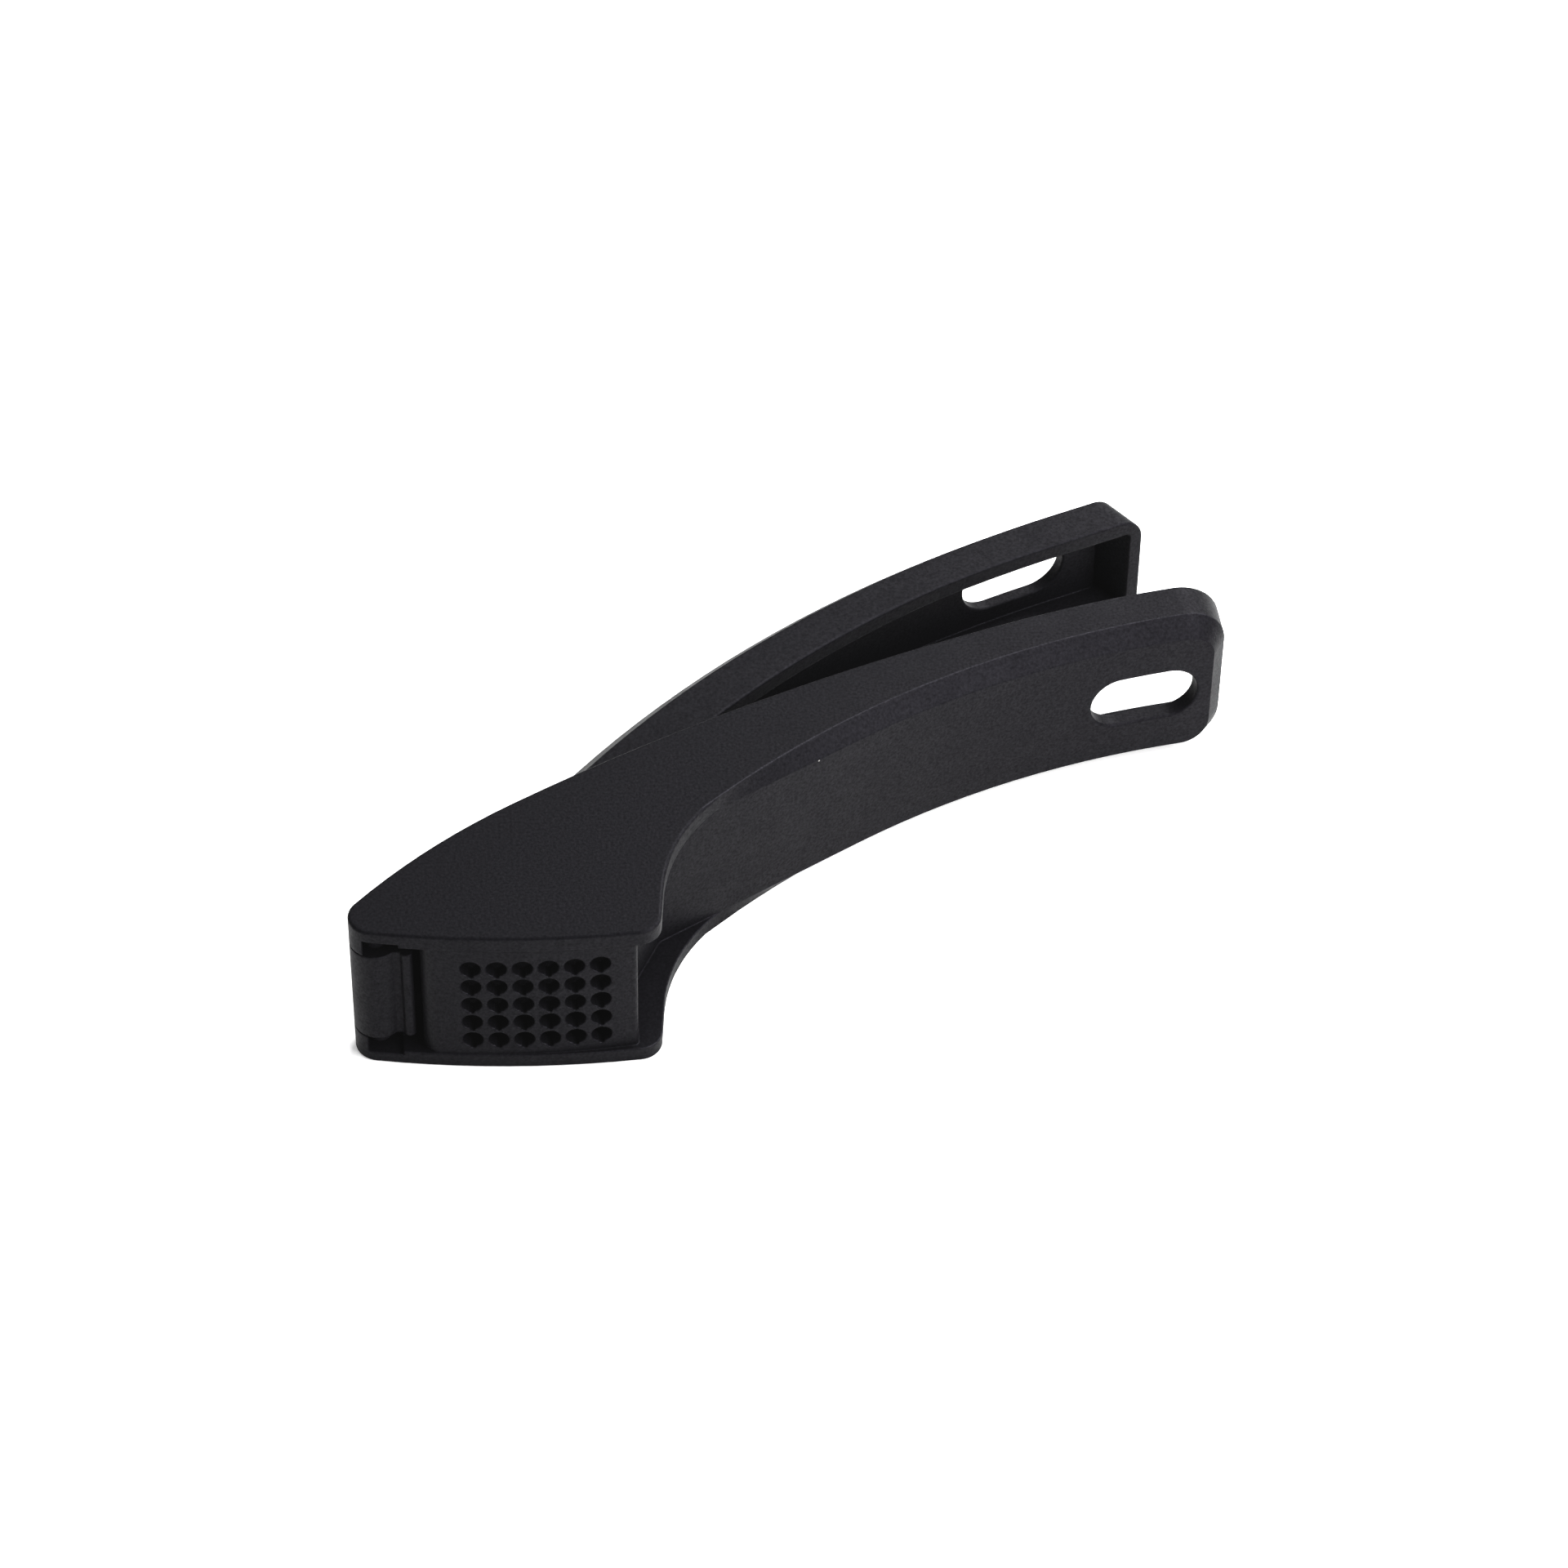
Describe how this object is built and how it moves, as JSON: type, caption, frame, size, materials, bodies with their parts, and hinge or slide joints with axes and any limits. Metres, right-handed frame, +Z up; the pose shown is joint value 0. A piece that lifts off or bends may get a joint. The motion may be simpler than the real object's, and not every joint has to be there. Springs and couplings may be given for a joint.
{
  "type": "garlic press",
  "caption": "Hand garlic press of moulded plastic: two channel-section levers on one hinge, a chamber with a perforated sieve plate and a pivoted presser foot.",
  "frame": {"origin": "on the hinge axis, in the plane of the front lever's side plate that the press rests on", "axes": "+Z up along the hinge axis, +X along the sieve plate from the hinge towards the handles, +Y from the sieve to the chamber's open mouth and the rear lever"},
  "size_m": [0.1608, 0.1114, 0.033],
  "materials": {
    "lever_plastic": "fine-grained matte moulding",
    "foot_plastic": "fine-grained matte moulding",
    "pin_plastic": "smooth, slightly lighter than the levers"
  },
  "bodies": {
    "front_lever": {"chamber_lever": "lever_plastic"},
    "rear_lever": {"plunger_lever": "lever_plastic", "hinge_pin": "pin_plastic", "plunger_pin": "pin_plastic"},
    "presser_foot": {"plunger": "foot_plastic"}
  },
  "joints": [
    {"name": "main_hinge", "type": "hinge", "parent": "front_lever", "child": "rear_lever", "pos_m": [0, 0, 0.0165], "axis": [0, 0, 1], "range_deg": [-7.6, 100]},
    {"name": "foot_pivot", "type": "hinge", "parent": "rear_lever", "child": "presser_foot", "pos_m": [0.02602, 0.00912, 0.0165], "axis": [0, 0, 1], "range_deg": [-3, 3]}
  ]
}
